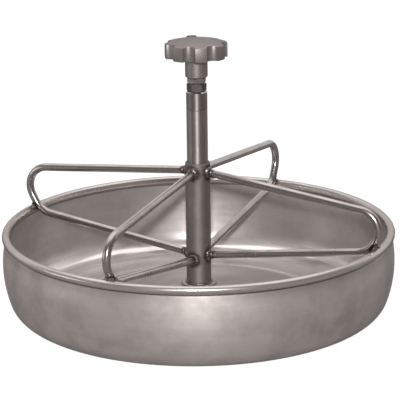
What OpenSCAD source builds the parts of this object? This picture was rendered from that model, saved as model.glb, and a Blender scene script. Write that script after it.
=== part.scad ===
// Piglet feeder: a pressed steel bowl with four wire dividers round a spring-loaded lock column.
// Pressing the knob lowers a cross bar through a slatted floor, a turn puts the bar across the
// slats, and the spring then clamps the bowl down. The lock is drawn at rest, pulled up by its spring.
// Origin: centre of the base ring, on the ground. +Z runs up the column, +X along one divider.

/* [Bowl] */
// Outside diameter over the rolled rim and over the wall
bowl_d = 300; // [260:1:340]
// Height of the rolled rim's top above the ground
bowl_h = 64.6; // [58:0.2:74]
// Thickness of the pressed sheet
sheet = 1.2; // [0.8:0.1:1.5]
// Outside diameter of the rolled rim
bead_d = 6.4; // [5.4:0.1:7.4]
// Slit left between the rolled edge and the wall
bead_slit = 0.8; // [0.4:0.1:1.2]
// Height of the ring where the wall is widest
bulge_h = 39; // [34:0.5:44]
// How far the wall draws in from its widest ring to the rim
neck_inset = 2.2; // [1.6:0.1:3]
// Outer radius of the corner between wall and base
corner_r = 17; // [12:0.5:22]
// Diameter at which the floor starts to rise towards the column
cone_d = 200; // [180:1:220]
// Diameter of the flat top of the raised floor
centre_d = 34; // [30:1:44]

/* [Column] */
// Height of the sleeve's top above the ground
sleeve_top_h = 115; // [105:0.5:125]
// Wall of the sleeve
sleeve_wall = 1.42; // [1:0.01:2]
// Outside diameter of the guide tube that slides in the sleeve
tube_d = 16; // [15:0.1:18]
// Wall of the guide tube
tube_wall = 1.5; // [1:0.1:2]
// Length of the guide tube that stands clear of the sleeve at rest
tube_clear_l = 41; // [37:0.5:50]
// Length of the guide tube held in the sleeve at rest
tube_held_l = 35; // [28:0.5:36]
// Height of the end plug above the guide tube
plug_h = 14; // [10:0.5:18]
// Length of the plug's spigot in the guide tube
spigot_l = 10; // [6:0.5:14]
// Diameter of the tie rod, a metric thread
rod_d = 8; // [6:0.5:8]
// Diameter of the washer welded to the bowl under the sleeve
base_washer_d = 27; // [24:0.5:30]
// Thickness of that washer
base_washer_t = 2; // [1.5:0.1:3]

/* [Dividers] */
// Diameter of the divider wire
wire_d = 6; // [5:0.1:7]
// How far the upper leg's axis would meet the column's axis below the sleeve's top
leg_drop = 6.5; // [6:0.1:12]
// Height of the right divider's lower leg at the column's axis
leg_low_right = 41; // [36:0.1:46]
// Height of the rear divider's lower leg at the column's axis
leg_low_rear = 40; // [36:0.1:46]
// Height of the left divider's lower leg at the column's axis
leg_low_left = 41; // [36:0.1:46]
// Height of the front divider's lower leg at the column's axis
leg_low_front = 38; // [36:0.1:46]
// How far outside the rim the upper leg and the outer leg would cross
loop_over = 8; // [5:0.5:11]
// Height at which those legs would cross on the right divider
loop_top_right = 88.6; // [86:0.1:100]
// Height at which those legs would cross on the rear divider
loop_top_rear = 96; // [86:0.1:100]
// Height at which those legs would cross on the left divider
loop_top_left = 94.8; // [86:0.1:100]
// Height at which those legs would cross on the front divider
loop_top_front = 91.6; // [86:0.1:100]
// Bend radius of the upper outer corner, to the wire's axis
bend_high_r = 16; // [12:0.5:18]
// Bend radius of the lower outer corner, to the wire's axis
bend_low_r = 18; // [14:0.5:22]
// Direction from the rim's section to the wire that rests on it, in degrees
rest_turn = 140; // [130:1:150]
// Diameter of the weld round each leg's end
weld_d = 10; // [9:0.1:11]
// Length of that weld along the leg
weld_l = 3; // [2:0.1:4]
// Diameter of the tack weld on the rim
tack_d = 9; // [8:0.1:10]

/* [Knob] */
// Outside diameter over the knob's lobes
knob_d = 47; // [42:0.5:54]
// Thickness of the lobed disc at its rim
knob_h = 10.7; // [8:0.1:14]
// Height of the disc's domed top above its rim
crown_h = 3.2; // [2:0.1:4]
// Diameter of the grip grooves
groove_d = 10; // [8:0.1:12]
// Diameter of the circle through the grooves' centres
groove_circle_d = 49; // [47:0.5:51]
// Number of grip grooves
grooves = 8; // [6:1:9]
// Diameter of the hub under the disc
hub_d = 17; // [16:0.5:20]
// Height of the hub
hub_h = 15.3; // [12:0.1:18]
// Chamfer on the knob's edges
knob_chamfer = 0.5; // [0.3:0.1:0.8]
// Length of the raised mark that shows which way the lock bar lies
mark_l = 8.4; // [6:0.1:9]
// Width of the raised mark
mark_w = 3.6; // [3:0.1:4.4]
// Direction of the mark and the lock bar at rest, in degrees from +X
lock_turn = 125; // [0:1:180]

/* [Fasteners] */
// Width across flats of the hex nuts
nut_af = 13; // [12:0.1:15]
// Height of the full nut
nut_h = 6.5; // [5:0.1:8]
// Height of the thin nuts
thin_nut_h = 4; // [3:0.1:5]
// Diameter of the stop washer under the bowl
stop_washer_d = 16; // [15:0.5:20]
// Thickness of the stop washer and the thrust washer
washer_t = 1.6; // [1:0.1:2]

/* [Lock] */
// Length of the cross bar
bar_l = 56; // [40:1:64]
// Width of the cross bar
bar_w = 9; // [8.6:0.1:14]
// Thickness of the cross bar
bar_t = 6; // [4:0.1:8]
// Height of the retracted lock above the ground
ground_gap = 1.2; // [0.6:0.1:3]
// Outside diameter of the spring
spring_d = 14; // [13:0.1:14.4]
// Diameter of the spring's wire
spring_wire_d = 1.5; // [1.2:0.1:1.7]
// Number of turns in the spring
spring_turns = 11; // [8:1:12]

/* [Fits] */
// Gap round a sliding or turning fit, on the radius
running_gap = 0.08; // [0.05:0.01:0.1]
// Gap round a piece that passes freely, on the radius
free_gap = 0.3; // [0.3:0.05:0.5]
// Gap between pieces that are welded or screwed together
seat_gap = 0.05; // [0.02:0.01:0.08]

/* [Hidden] */
$fn = 96;

// Length by which every cut runs past the face that it cuts
overrun = sheet;

// Bowl
bowl_r = bowl_d / 2;
bead_r = bead_d / 2;
bead_at = [bowl_r - bead_r, bowl_h - bead_r];
neck_h = bead_at.y - bead_r;
bulge_rise = neck_h - bulge_h;
bulge_r = (bulge_rise * bulge_rise + neck_inset * neck_inset) / (2 * neck_inset);
bulge_at = [bowl_r - bulge_r, bulge_h];
corner_drop = bulge_h - corner_r;
corner_at = [bulge_at.x + sqrt(pow(bulge_r - corner_r, 2) - corner_drop * corner_drop), corner_r];
corner_turn = atan2(-corner_drop, corner_at.x - bulge_at.x);
neck_turn = asin((bulge_rise + bead_r / 2) / bulge_r);
slit_turn = -45;
base_turn = -90;
wall_steps = 8;
corner_steps = 8;
// The lock's nuts, bar and stop washer stand in the hollow under the raised floor
lock_stack_h = washer_t + 2 * thin_nut_h + bar_t;
centre_under_h = ground_gap + lock_stack_h;
centre_h = centre_under_h + sheet;
rod_hole_d = rod_d + 2 * free_gap;

// Column
bore_d = tube_d + 2 * running_gap;
sleeve_d = bore_d + 2 * sleeve_wall;
sleeve_foot_h = centre_h + base_washer_t;
tube_foot_h = sleeve_top_h - tube_held_l;
tube_top_h = sleeve_top_h + tube_clear_l;
plug_top_h = tube_top_h + plug_h;
plug_chamfer = tube_wall / 2;
spigot_d = tube_d - 2 * tube_wall - 2 * seat_gap;
screwed_d = rod_d + 2 * seat_gap;
clamp_nut_h = plug_top_h;
jam_nut_h = clamp_nut_h + nut_h;
hub_foot_h = jam_nut_h + thin_nut_h;
disc_foot_h = hub_foot_h + hub_h;
knob_top_h = disc_foot_h + knob_h;
crown_rim_r = knob_d / 2 - knob_chamfer;
crown_r = (crown_rim_r * crown_rim_r + crown_h * crown_h) / (2 * crown_h);
crown_at = [0, knob_top_h + crown_h - crown_r];
crown_turn = acos(crown_rim_r / crown_r);
crown_steps = 6;
rod_top_h = knob_top_h - knob_h / 2;
rod_chamfer = rod_d / 8;
// How far the nuts' corners lie behind the lock bar, in degrees
clamp_nut_lag = 100;
jam_nut_lag = 80;

// Lock below the bowl
bar_top_h = centre_under_h - washer_t - thin_nut_h;
bar_foot_h = bar_top_h - bar_t;
rod_foot_h = bar_foot_h - thin_nut_h;

// Spring, between the washer on the bowl and the thrust washer under the guide tube
thrust_foot_h = tube_foot_h - washer_t;
spring_low_h = sleeve_foot_h + seat_gap + spring_wire_d / 2;
spring_high_h = thrust_foot_h - seat_gap - spring_wire_d / 2;
spring_r = (spring_d - spring_wire_d) / 2;
spring_pitch = (spring_high_h - spring_low_h) / spring_turns;
rings_per_turn = 8;
spring_sides = 6;
spring_rings = spring_turns * rings_per_turn;

// Divider loop in its own plane, x outwards and y up
wire_r = wire_d / 2;
// Bent stretches are a hair thicker than the legs, which run on into them by the lap
bend_swell = wire_d / 250;
leg_lap = wire_d / 20;
// Most of the outer leg that the upper bend may take
widest_bend_share = 0.95;
loop_start = [0, sleeve_top_h - leg_drop];
// The lower bend rests on the rim, apart from the gap that its tack weld fills
rest_gap = 5 * seat_gap;
rest_way = [cos(rest_turn), sin(rest_turn)];
rest_centre = bead_at + (bend_low_r + wire_r + rest_gap + bead_r) * rest_way;
tack_at = bead_at + bead_r * rest_way;

// Unit vector from one point to another
function towards(from, to) = (to - from) / norm(to - from);

// Point where a line from a point touches a circle, on its left side (1) or its right side (-1)
function tangent_point(from, centre, r, side) =
    let(
        way = centre - from,
        turn = atan2(way.y, way.x) + side * asin(r / norm(way))
    )
    from + sqrt(way * way - r * r) * [cos(turn), sin(turn)];

// Half the angle at a corner between its two neighbours
function half_angle(before, at, after) = acos(towards(at, before) * towards(at, after)) / 2;

// Length of leg that a bend of radius r takes at a corner
function bend_take(before, at, after, r) = r / tan(half_angle(before, at, after));

// Centre of the bend of radius r in a corner
function bend_centre(before, at, after, r) =
    at + towards([0, 0], towards(at, before) + towards(at, after)) * r / sin(half_angle(before, at, after));

// Points along an arc, without its first one
function arc_points(centre, r, from, to, steps) =
    [for (i = [1:steps]) centre + r * [cos(from + (to - from) * i / steps), sin(from + (to - from) * i / steps)]];

// Knob's domed top in section, from its rim to the axis
function crown_line() =
    concat(
        [[crown_rim_r, knob_top_h]],
        arc_points(crown_at, crown_r, crown_turn, 90 - (90 - crown_turn) / crown_steps, crown_steps - 1),
        [[0, knob_top_h + crown_h]]
    );

// Point on the spring's wire: ring number i, corner number j
function spring_point(i, j) =
    let(
        turn = 360 * i / rings_per_turn,
        side = 360 * j / spring_sides,
        out = spring_r + spring_wire_d / 2 * cos(side)
    )
    [
        out * cos(turn),
        out * sin(turn),
        spring_low_h + spring_pitch * i / rings_per_turn + spring_wire_d / 2 * sin(side)
    ];

// Lays what is drawn up +Z along the line between two points of the loop's plane
module along(from, to) {
    way = to - from;
    translate([from.x, 0, from.y])
        rotate([0, atan2(way.x, way.y), 0])
            children();
}

// Straight leg of the wire, which laps into the bend at its far end, or at both ends
module wire_leg(from, to, start_lap = 0) {
    along(from, to)
        translate([0, 0, -start_lap])
            cylinder(d = wire_d, h = norm(to - from) + start_lap + leg_lap);
}

// Round bend of the wire, counter-clockwise from its first point to its last
module wire_bend(centre, r, first, last) {
    first_turn = atan2(first.y - centre.y, first.x - centre.x);
    last_turn = atan2(last.y - centre.y, last.x - centre.x);
    translate([centre.x, 0, centre.y])
        rotate([90, 0, 0])
            rotate([0, 0, first_turn])
                rotate_extrude(angle = last_turn - first_turn)
                    translate([r, 0])
                        circle(r = wire_r + bend_swell);
}

// Weld round the end of a leg, before the sleeve is cut away
module leg_weld(from, to) {
    root_l = sleeve_d / 2 + weld_l / 3;
    along(from, to)
        rotate_extrude()
            polygon([
                [0, 0],
                [weld_d / 2, 0],
                [weld_d / 2, root_l],
                [wire_r - bend_swell, root_l + weld_l],
                [0, root_l + weld_l]
            ]);
}

// One bent wire loop with its welds, coped to the sleeve and the rim
module divider(turn, top, low) {
    upper = [bowl_r + loop_over, top];
    loop_end = [0, low];
    lower_out = tangent_point(loop_end, rest_centre, bend_low_r, -1);
    outer_low = tangent_point(upper, rest_centre, bend_low_r, 1);
    outer_leg_l = norm(outer_low - upper);
    widest_r = outer_leg_l * tan(half_angle(loop_start, upper, outer_low));
    high_r = min(bend_high_r, widest_bend_share * widest_r);
    take = bend_take(loop_start, upper, outer_low, high_r);
    high_in = upper + towards(upper, loop_start) * take;
    high_out = upper + towards(upper, outer_low) * take;
    high_centre = bend_centre(loop_start, upper, outer_low, high_r);
    color("silver")
        rotate([0, 0, turn])
            difference() {
                union() {
                    wire_leg(loop_start, high_in);
                    wire_bend(high_centre, high_r, high_out, high_in);
                    wire_leg(high_out, outer_low, leg_lap);
                    wire_bend(rest_centre, bend_low_r, lower_out, outer_low);
                    wire_leg(loop_end, lower_out);
                    leg_weld(loop_start, high_in);
                    leg_weld(loop_end, lower_out);
                    translate([tack_at.x, 0, tack_at.y])
                        sphere(d = tack_d);
                }
                cylinder(d = sleeve_d + 2 * seat_gap, h = sleeve_top_h + overrun);
                rotate_extrude()
                    translate(bead_at)
                        circle(r = bead_r + seat_gap);
            }
}

// Rolled rim in section, open at its slit
module bead_section() {
    translate(bead_at)
        difference() {
            circle(r = bead_r);
            circle(r = bead_r - sheet);
            rotate([0, 0, slit_turn])
                translate([0, -bead_slit / 2])
                    square([bead_d, bead_slit]);
        }
}

// Bowl's sheet in section, from the rim down the wall and over the raised floor to the rod's hole
module sheet_section() {
    outside = concat(
        [bulge_at + bulge_r * [cos(neck_turn), sin(neck_turn)]],
        arc_points(bulge_at, bulge_r, neck_turn, corner_turn, wall_steps),
        arc_points(corner_at, corner_r, corner_turn, base_turn, corner_steps)
    );
    under_floor = [
        [cone_d / 2, 0],
        [centre_d / 2, centre_under_h],
        [rod_hole_d / 2, centre_under_h]
    ];
    floor_top = [
        [rod_hole_d / 2, centre_h],
        [centre_d / 2, centre_h],
        [cone_d / 2, sheet]
    ];
    inside = concat(
        [corner_at - [0, corner_r - sheet]],
        arc_points(corner_at, corner_r - sheet, base_turn, corner_turn, corner_steps),
        arc_points(bulge_at, bulge_r - sheet, corner_turn, neck_turn, wall_steps)
    );
    polygon(concat(outside, under_floor, floor_top, inside));
}

// Pressed bowl with its rolled rim and its floor raised round the column
module bowl() {
    color("darkgray") {
        rotate_extrude()
            bead_section();
        rotate_extrude()
            difference() {
                sheet_section();
                translate(bead_at)
                    circle(r = bead_r - sheet / 2);
            }
    }
}

// Plain round washer
module washer(d, bore, t) {
    difference() {
        cylinder(d = d, h = t);
        translate([0, 0, -overrun])
            cylinder(d = bore, h = t + 2 * overrun);
    }
}

// Washer welded to the raised floor, which guides the rod and carries the sleeve and the spring
module base_washer() {
    color("darkgray")
        translate([0, 0, centre_h])
            washer(base_washer_d, rod_d + 2 * running_gap, base_washer_t);
}

// Fixed post that carries the dividers and guides the tube
module sleeve() {
    color("gray")
        translate([0, 0, sleeve_foot_h])
            washer(sleeve_d, bore_d, sleeve_top_h - sleeve_foot_h);
}

// Compression spring, one helix
module lock_spring() {
    ring = spring_sides;
    last = spring_rings * ring;
    points = [for (i = [0:spring_rings], j = [0:ring - 1]) spring_point(i, j)];
    skin = [
        for (i = [0:spring_rings - 1], j = [0:ring - 1])
            let(a = i * ring + j, b = i * ring + (j + 1) % ring)
            each [[a, a + ring, b], [b, a + ring, b + ring]]
    ];
    foot_cap = [for (j = [1:ring - 2]) [0, j, j + 1]];
    top_cap = [for (j = [1:ring - 2]) [last, last + j + 1, last + j]];
    color("dimgray")
        polyhedron(points = points, faces = concat(skin, foot_cap, top_cap), convexity = spring_turns);
    gaps = [for (j = [0:ring - 1], k = [0:ring - 1])
        norm(spring_point(rings_per_turn, j) - spring_point(0, k))];
    echo(least_spring_gap = min(gaps));
}

// Loose washer on which the guide tube turns against the spring
module thrust_washer() {
    color("silver")
        translate([0, 0, thrust_foot_h])
            washer(bore_d - 2 * free_gap, rod_d + 2 * free_gap, washer_t);
}

// Inner tube that slides and turns in the sleeve
module guide_tube() {
    color("gray")
        translate([0, 0, tube_foot_h])
            washer(tube_d, tube_d - 2 * tube_wall, tube_top_h - tube_foot_h);
}

// Turned plug that closes the guide tube and carries the rod's nut
module tube_plug() {
    color("gray")
        rotate_extrude()
            polygon([
                [screwed_d / 2, tube_top_h - spigot_l],
                [spigot_d / 2, tube_top_h - spigot_l],
                [spigot_d / 2, tube_top_h],
                [tube_d / 2, tube_top_h],
                [tube_d / 2, plug_top_h - plug_chamfer],
                [tube_d / 2 - plug_chamfer, plug_top_h],
                [screwed_d / 2, plug_top_h]
            ]);
}

// Threaded rod from the lock bar up into the knob
module tie_rod() {
    color("gainsboro")
        rotate_extrude()
            polygon([
                [0, rod_foot_h],
                [rod_d / 2 - rod_chamfer, rod_foot_h],
                [rod_d / 2, rod_foot_h + rod_chamfer],
                [rod_d / 2, rod_top_h - rod_chamfer],
                [rod_d / 2 - rod_chamfer, rod_top_h],
                [0, rod_top_h]
            ]);
}

// Hex nut with its corners turned off at both ends
module hex_nut(h, turn) {
    corner = nut_af / 2 / cos(30);
    chamfer = (corner - nut_af / 2) * tan(30);
    rotate([0, 0, turn])
        difference() {
            intersection() {
                cylinder(r = corner, h = h, $fn = 6);
                rotate_extrude()
                    polygon([
                        [0, 0],
                        [nut_af / 2, 0],
                        [corner, chamfer],
                        [corner, h - chamfer],
                        [nut_af / 2, h],
                        [0, h]
                    ]);
            }
            translate([0, 0, -overrun])
                cylinder(d = screwed_d, h = h + 2 * overrun);
        }
}

// Full nut that pulls the rod up against the plug
module clamp_nut() {
    color("dimgray")
        translate([0, 0, clamp_nut_h])
            hex_nut(nut_h, lock_turn - clamp_nut_lag);
}

// Thin nut that locks the knob on the rod
module jam_nut() {
    color("dimgray")
        translate([0, 0, jam_nut_h])
            hex_nut(thin_nut_h, lock_turn - jam_nut_lag);
}

// Domed lobed disc on a hub, bored for the rod
module knob() {
    color("gray")
        difference() {
            rotate_extrude()
                polygon(concat(
                    [
                        [0, hub_foot_h],
                        [hub_d / 2 - 2 * knob_chamfer, hub_foot_h],
                        [hub_d / 2, hub_foot_h + 2 * knob_chamfer],
                        [hub_d / 2, disc_foot_h],
                        [crown_rim_r, disc_foot_h],
                        [knob_d / 2, disc_foot_h + knob_chamfer],
                        [knob_d / 2, knob_top_h - knob_chamfer]
                    ],
                    crown_line()
                ));
            for (i = [0:grooves - 1])
                rotate([0, 0, lock_turn + (i + 1 / 2) * 360 / grooves])
                    translate([groove_circle_d / 2, 0, disc_foot_h - overrun])
                        cylinder(d = groove_d, h = knob_h + crown_h + 2 * overrun);
            translate([0, 0, hub_foot_h - overrun])
                cylinder(d = screwed_d, h = rod_top_h - hub_foot_h + overrun + seat_gap);
        }
}

// Half-round mark on one lobe of the knob, coped to the domed top
module direction_mark() {
    along = mark_l - mark_w;
    color("dimgray")
        difference() {
            rotate([0, 0, lock_turn])
                translate([crown_rim_r - mark_w / 2, 0, knob_top_h]) {
                    rotate([90, 0, 0])
                        cylinder(d = mark_w, h = along, center = true);
                    for (side = [-1, 1])
                        translate([0, side * along / 2, 0])
                            sphere(d = mark_w);
                }
            rotate_extrude()
                translate([0, seat_gap])
                    polygon(concat(
                        [[0, disc_foot_h], [knob_d, disc_foot_h], [knob_d, knob_top_h]],
                        crown_line()
                    ));
        }
}

// Washer that stops the lock against the underside of the raised floor
module stop_washer() {
    color("silver")
        translate([0, 0, centre_under_h - washer_t])
            washer(stop_washer_d, screwed_d, washer_t);
}

// Two thin nuts that clamp the cross bar on the rod
module bar_nuts() {
    color("dimgray")
        for (foot = [bar_top_h, rod_foot_h])
            translate([0, 0, foot])
                hex_nut(thin_nut_h, lock_turn);
}

// Cross bar that goes through the slats and turns across them
module lock_bar() {
    color("gray")
        difference() {
            rotate([0, 0, lock_turn])
                translate([-bar_l / 2, -bar_w / 2, bar_foot_h])
                    cube([bar_l, bar_w, bar_t]);
            translate([0, 0, bar_foot_h - overrun])
                cylinder(d = screwed_d, h = bar_t + 2 * overrun);
        }
}

bowl();
base_washer();
sleeve();
divider(0, loop_top_right, leg_low_right);  // divider_right
divider(90, loop_top_rear, leg_low_rear);  // divider_rear
divider(180, loop_top_left, leg_low_left);  // divider_left
divider(270, loop_top_front, leg_low_front);  // divider_front
lock_spring();
thrust_washer();
guide_tube();
tube_plug();
tie_rod();
clamp_nut();
jam_nut();
knob();
direction_mark();
stop_washer();
bar_nuts();
lock_bar();
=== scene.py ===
"""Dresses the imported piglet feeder: pressed bowl, bent wire dividers, lock column, knob and studio."""
import math

import bmesh
import bpy
from mathutils import Matrix, Vector, noise


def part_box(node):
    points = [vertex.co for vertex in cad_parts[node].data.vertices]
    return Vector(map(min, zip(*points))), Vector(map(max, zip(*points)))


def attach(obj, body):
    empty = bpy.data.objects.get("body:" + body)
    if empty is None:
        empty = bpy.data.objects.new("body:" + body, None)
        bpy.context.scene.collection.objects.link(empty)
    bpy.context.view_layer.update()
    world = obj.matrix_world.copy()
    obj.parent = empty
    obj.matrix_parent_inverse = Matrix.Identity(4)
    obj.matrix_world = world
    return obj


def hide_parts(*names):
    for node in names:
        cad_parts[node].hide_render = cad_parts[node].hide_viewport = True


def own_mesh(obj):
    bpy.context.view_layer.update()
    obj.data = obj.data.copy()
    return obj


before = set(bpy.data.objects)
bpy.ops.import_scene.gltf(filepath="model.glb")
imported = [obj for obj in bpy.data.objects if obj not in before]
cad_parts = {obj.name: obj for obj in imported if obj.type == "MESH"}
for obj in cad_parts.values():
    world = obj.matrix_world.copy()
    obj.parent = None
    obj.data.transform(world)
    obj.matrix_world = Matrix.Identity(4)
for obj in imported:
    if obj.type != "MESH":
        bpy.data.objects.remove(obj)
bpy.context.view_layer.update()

MM = 0.001
TURN = 2 * math.pi
COLUMN = Vector((0, 0, 1))
ORIGIN = Vector((0, 0, 0))
MERGE = 0.002 * MM
SWEPT_MERGE = 5 * MERGE
SHARP = math.radians(28)
TURNED_STEPS = 96
SECOND_MATERIAL = 1


def reach(node):
    """Radius, foot and top of a CAD node that stands on the column's axis."""
    low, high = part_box(node)
    return high.x, low.z, high.z


# Sizes of the solids that the pieces stand for
BOWL_R, _, BOWL_H = reach("bowl")
WASHER_R, WASHER_FOOT, WASHER_TOP = reach("base_washer")
SLEEVE_R, SLEEVE_FOOT, SLEEVE_TOP = reach("sleeve")
TUBE_R, TUBE_FOOT, TUBE_TOP = reach("guide_tube")
PLUG_FOOT, PLUG_TOP = reach("tube_plug")[1:]
ROD_R, ROD_FOOT, ROD_TOP = reach("tie_rod")
THRUST_R, THRUST_FOOT, THRUST_TOP = reach("thrust_washer")
STOP_R, STOP_FOOT, STOP_TOP = reach("stop_washer")
CLAMP_FOOT, CLAMP_TOP = reach("clamp_nut")[1:]
JAM_FOOT, JAM_TOP = reach("jam_nut")[1:]
HUB_FOOT, CROWN_TOP = reach("knob")[1:]
BAR_FOOT, BAR_TOP = reach("lock_bar")[1:]
BAR_NUTS_FOOT, BAR_NUTS_TOP = reach("bar_nuts")[1:]
SPRING_R, SPRING_FOOT, SPRING_TOP = reach("lock_spring")

# Bowl's pressed sheet
SHEET = 1.2 * MM
BEAD_R = 3.2 * MM
BULGE_H = 39 * MM
NECK_INSET = 2.2 * MM
CORNER_R = 17 * MM
CONE_R = 100 * MM
CENTRE_R = 17 * MM
ROD_HOLE_R = 4.3 * MM
CREASE_R = 36 * MM
SHOULDER_R = 4 * MM
NECK_BEND_R = 1.4 * MM
CURL_START = 222
CURL_END = -68
FLOOR_MID = SHEET / 2
CENTRE_MID = STOP_TOP + SHEET / 2
BEAD_AT = Vector((BOWL_R - BEAD_R, BOWL_H - BEAD_R))
NECK_H = BEAD_AT.y - BEAD_R
BOWL_STEPS = 224
SHOULDER_STEPS = 6
CREASE_STEPS = 8
CORNER_STEPS = 14
WALL_STEPS = 20
NECK_STEPS = 5
CURL_STEPS = 36

# Dividers
WIRE_R = 3 * MM
WIRE_SIDES = 24
LEG_HIGH = SLEEVE_TOP - 6.5 * MM
LOOP_REACH = 158 * MM
BEND_HIGH_R = 16 * MM
BEND_HIGH_STEPS = 22
BEND_LOW_R = 18 * MM
BEND_LOW_STEPS = 20
WIDEST_BEND_SHARE = 0.95
REST_TURN = 140
REST_GAP = 0.25 * MM
LOW_SLOPE = 0.145
# Each divider's direction, the height where its upper and outer legs would cross, and its lower leg's height
DIVIDERS = {
    "divider_right": (0, 88.6 * MM, 41 * MM),
    "divider_rear": (90, 96 * MM, 40 * MM),
    "divider_left": (180, 94.8 * MM, 41 * MM),
    "divider_front": (270, 91.6 * MM, 38 * MM),
}

# Welds: lumps are given by their depth and size, and each weld's own seed makes it differ
LUMPS_SEED = 7
WELD_R = 4.6 * MM
WELD_CORE_R = 0.98 * WELD_R
WELD_L = 3.4 * MM
WELD_ROOT = 0.7 * MM
WELD_SUNK = 0.4 * MM
WELD_RINGS = 4
WELD_RING_RISE = 0.62 * MM
WELD_RING_INSET = 0.2 * MM
WELD_TOE = 0.25 * MM
WELD_TOE_SHARE = 0.7
WELD_TIP_INSET = 0.1 * MM
WELD_STEPS = 54
WELD_RIPPLES = 9
WELD_RIPPLE_SHARE = 0.035
WELD_RIPPLE_H = 0.08 * MM
WELD_LUMPS = (0.2 * MM, 2.6 * MM)
WELD_SEED_HIGH = 1.3
WELD_SEED_LOW = 7.1
TACK_R = 3.9 * MM
TACK_SHAPE = (0.86, 1.12, 0.92)
TACK_SUNK = 0.4 * MM
TACK_LUMPS = (0.9 * MM, 3.2 * MM)
TACK_GRAINS = (0.35 * MM, 1.1 * MM)
TACK_SEED = 3.7
TACK_GRAIN_SEED = 5
FOOT_BEAD_R = 1.1 * MM
FOOT_BEAD_SIDES = 12
FOOT_BEAD_STEPS = 120
FOOT_RIPPLES = 34
FOOT_RIPPLE_H = 0.10 * MM
FOOT_LUMPS = (0.25 * MM, 3 * MM)
FOOT_SEED = 2.0

# Column and lock
RUN_GAP = 0.08 * MM
FIT_GAP = 0.05 * MM
FREE_GAP = 0.3 * MM
SLEEVE_BORE_R = TUBE_R + RUN_GAP
SLEEVE_EASE = 0.6 * MM
TUBE_WALL = 1.5 * MM
TUBE_EASE = 0.2 * MM
PLUG_CHAMFER = 0.75 * MM
PLUG_JOINT = 0.4 * MM
SPIGOT_R = TUBE_R - TUBE_WALL - FIT_GAP
SCREWED_R = ROD_R + FIT_GAP
RUNNING_R = ROD_R + RUN_GAP
FREE_R = ROD_R + FREE_GAP
PLATE_EASE = 0.2 * MM
PLATE_STEPS = 72
EDGE = 0.3 * MM
COUNTERSINK = 0.5 * MM
NUT_AF = 13 * MM
NUT_CHAMFER_SHARE = 0.95
NUT_CHAMFER = math.radians(30)
NUT_SHARP = math.radians(20)
NUT_STEPS = 72
FLAT_TURN = 60
CHAMFER_FROM = 0.3
CHAMFER_TO = 0.97
LOCK_TURN = 125
CLAMP_LAG = 100
JAM_LAG = 80
ROD_CHAMFER = 0.5 * MM
ROD_STEPS = 48
THREAD_PITCH = 1.25 * MM
THREAD_DEPTH = 0.68 * MM
THREAD_CREST = THREAD_PITCH / 6
THREAD_SUNK = 0.1 * MM
THREAD_STEPS = 24
BAR_L = 56 * MM
BAR_W = 9 * MM
BAR_CORNER_R = 1.5 * MM
BAR_EDGE_R = 0.4 * MM
SPRING_WIRE_R = 0.75 * MM
SPRING_TURNS = 11
SPRING_STEPS = 32
SPRING_SIDES = 12

# Knob
KNOB_R = 23.5 * MM
DISC_H = 10.7 * MM
CROWN_H = 3.2 * MM
KNOB_TOP = CROWN_TOP - CROWN_H
DISC_FOOT = KNOB_TOP - DISC_H
HUB_R = 8.5 * MM
HUB_CHAMFER = 1.0 * MM
HUB_SUNK = 1.0 * MM
GROOVES = 8
GROOVE_R = 5 * MM
GROOVE_AT = 24.5 * MM
GROOVE_STEPS = 14
LOBE_STEPS = 8
KNOB_CHAMFER = 0.45 * MM
KNOB_RIM_ANGLE = math.radians(60)
LEVEL_SHARE = 0.7
CROWN_RINGS = (1.0, 0.9, 0.88, 0.86, 0.82, 0.75, 0.6)
MARK_L = 8.4 * MM
MARK_R = 1.8 * MM
MARK_ARC_STEPS = 8
MARK_END_STEPS = 16


# Plane geometry of sections: points are radius and height
def polar(degrees, length=1.0):
    """Vector of a length, turned from the outward direction."""
    return Vector((math.cos(math.radians(degrees)), math.sin(math.radians(degrees)))) * length


def arc(centre, radius, start, end, steps):
    """Points along an arc, with both its ends."""
    return [Vector(centre) + polar(start + (end - start) * i / steps, radius) for i in range(steps + 1)]


def towards(start, end):
    """Direction from one point to another."""
    return (end - start).normalized()


def heading(way):
    """Direction of a vector in degrees."""
    return math.degrees(math.atan2(way.y, way.x))


def half_angle(before, at, after):
    """Half the angle between a corner's two legs."""
    return towards(at, before).angle(towards(at, after)) / 2


def bend_take(before, at, after, radius):
    """Length of leg that a bend takes at a corner."""
    return radius / math.tan(half_angle(before, at, after))


def bend_centre(before, at, after, radius):
    """Centre of the bend that rounds a corner."""
    middle = (towards(at, before) + towards(at, after)).normalized()
    return at + middle * radius / math.sin(half_angle(before, at, after))


def tangent_point(start, centre, radius, side):
    """Where a line from a point touches a circle, on its left (1) or its right (-1)."""
    way = centre - start
    turn = heading(way) + side * math.degrees(math.asin(radius / way.length))
    return start + polar(turn, math.sqrt(way.length_squared - radius * radius))


def rounded_corner(before, at, after, radius, steps):
    """Points of the arc that rounds a corner."""
    take = bend_take(before, at, after, radius)
    centre = bend_centre(before, at, after, radius)
    first = heading(at + towards(at, before) * take - centre)
    swing = (heading(at + towards(at, after) * take - centre) - first + 180) % 360 - 180
    return arc(centre, radius, first, first + swing, steps)


def thickened(line, thickness):
    """Closed outline of a sheet whose middle follows a line."""
    left, right = [], []
    for i, at in enumerate(line):
        way = line[min(i + 1, len(line) - 1)] - line[max(i - 1, 0)]
        side = Vector((-way.y, way.x)).normalized() * thickness / 2
        left.append(at + side)
        right.append(at - side)
    return left + right[::-1]


def eased(outline, ease):
    """Outline of a ring's rectangular section with its corners cut: inner and outer radius, foot and top."""
    inner, outer, foot, top = outline
    return [
        (inner, foot + ease), (inner + ease, foot), (outer - ease, foot), (outer, foot + ease),
        (outer, top - ease), (outer - ease, top), (inner + ease, top), (inner, top - ease),
    ]


def upright(point):
    """Point of a section as a point of the frame."""
    return Vector((point.x, 0, point.y))


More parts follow.
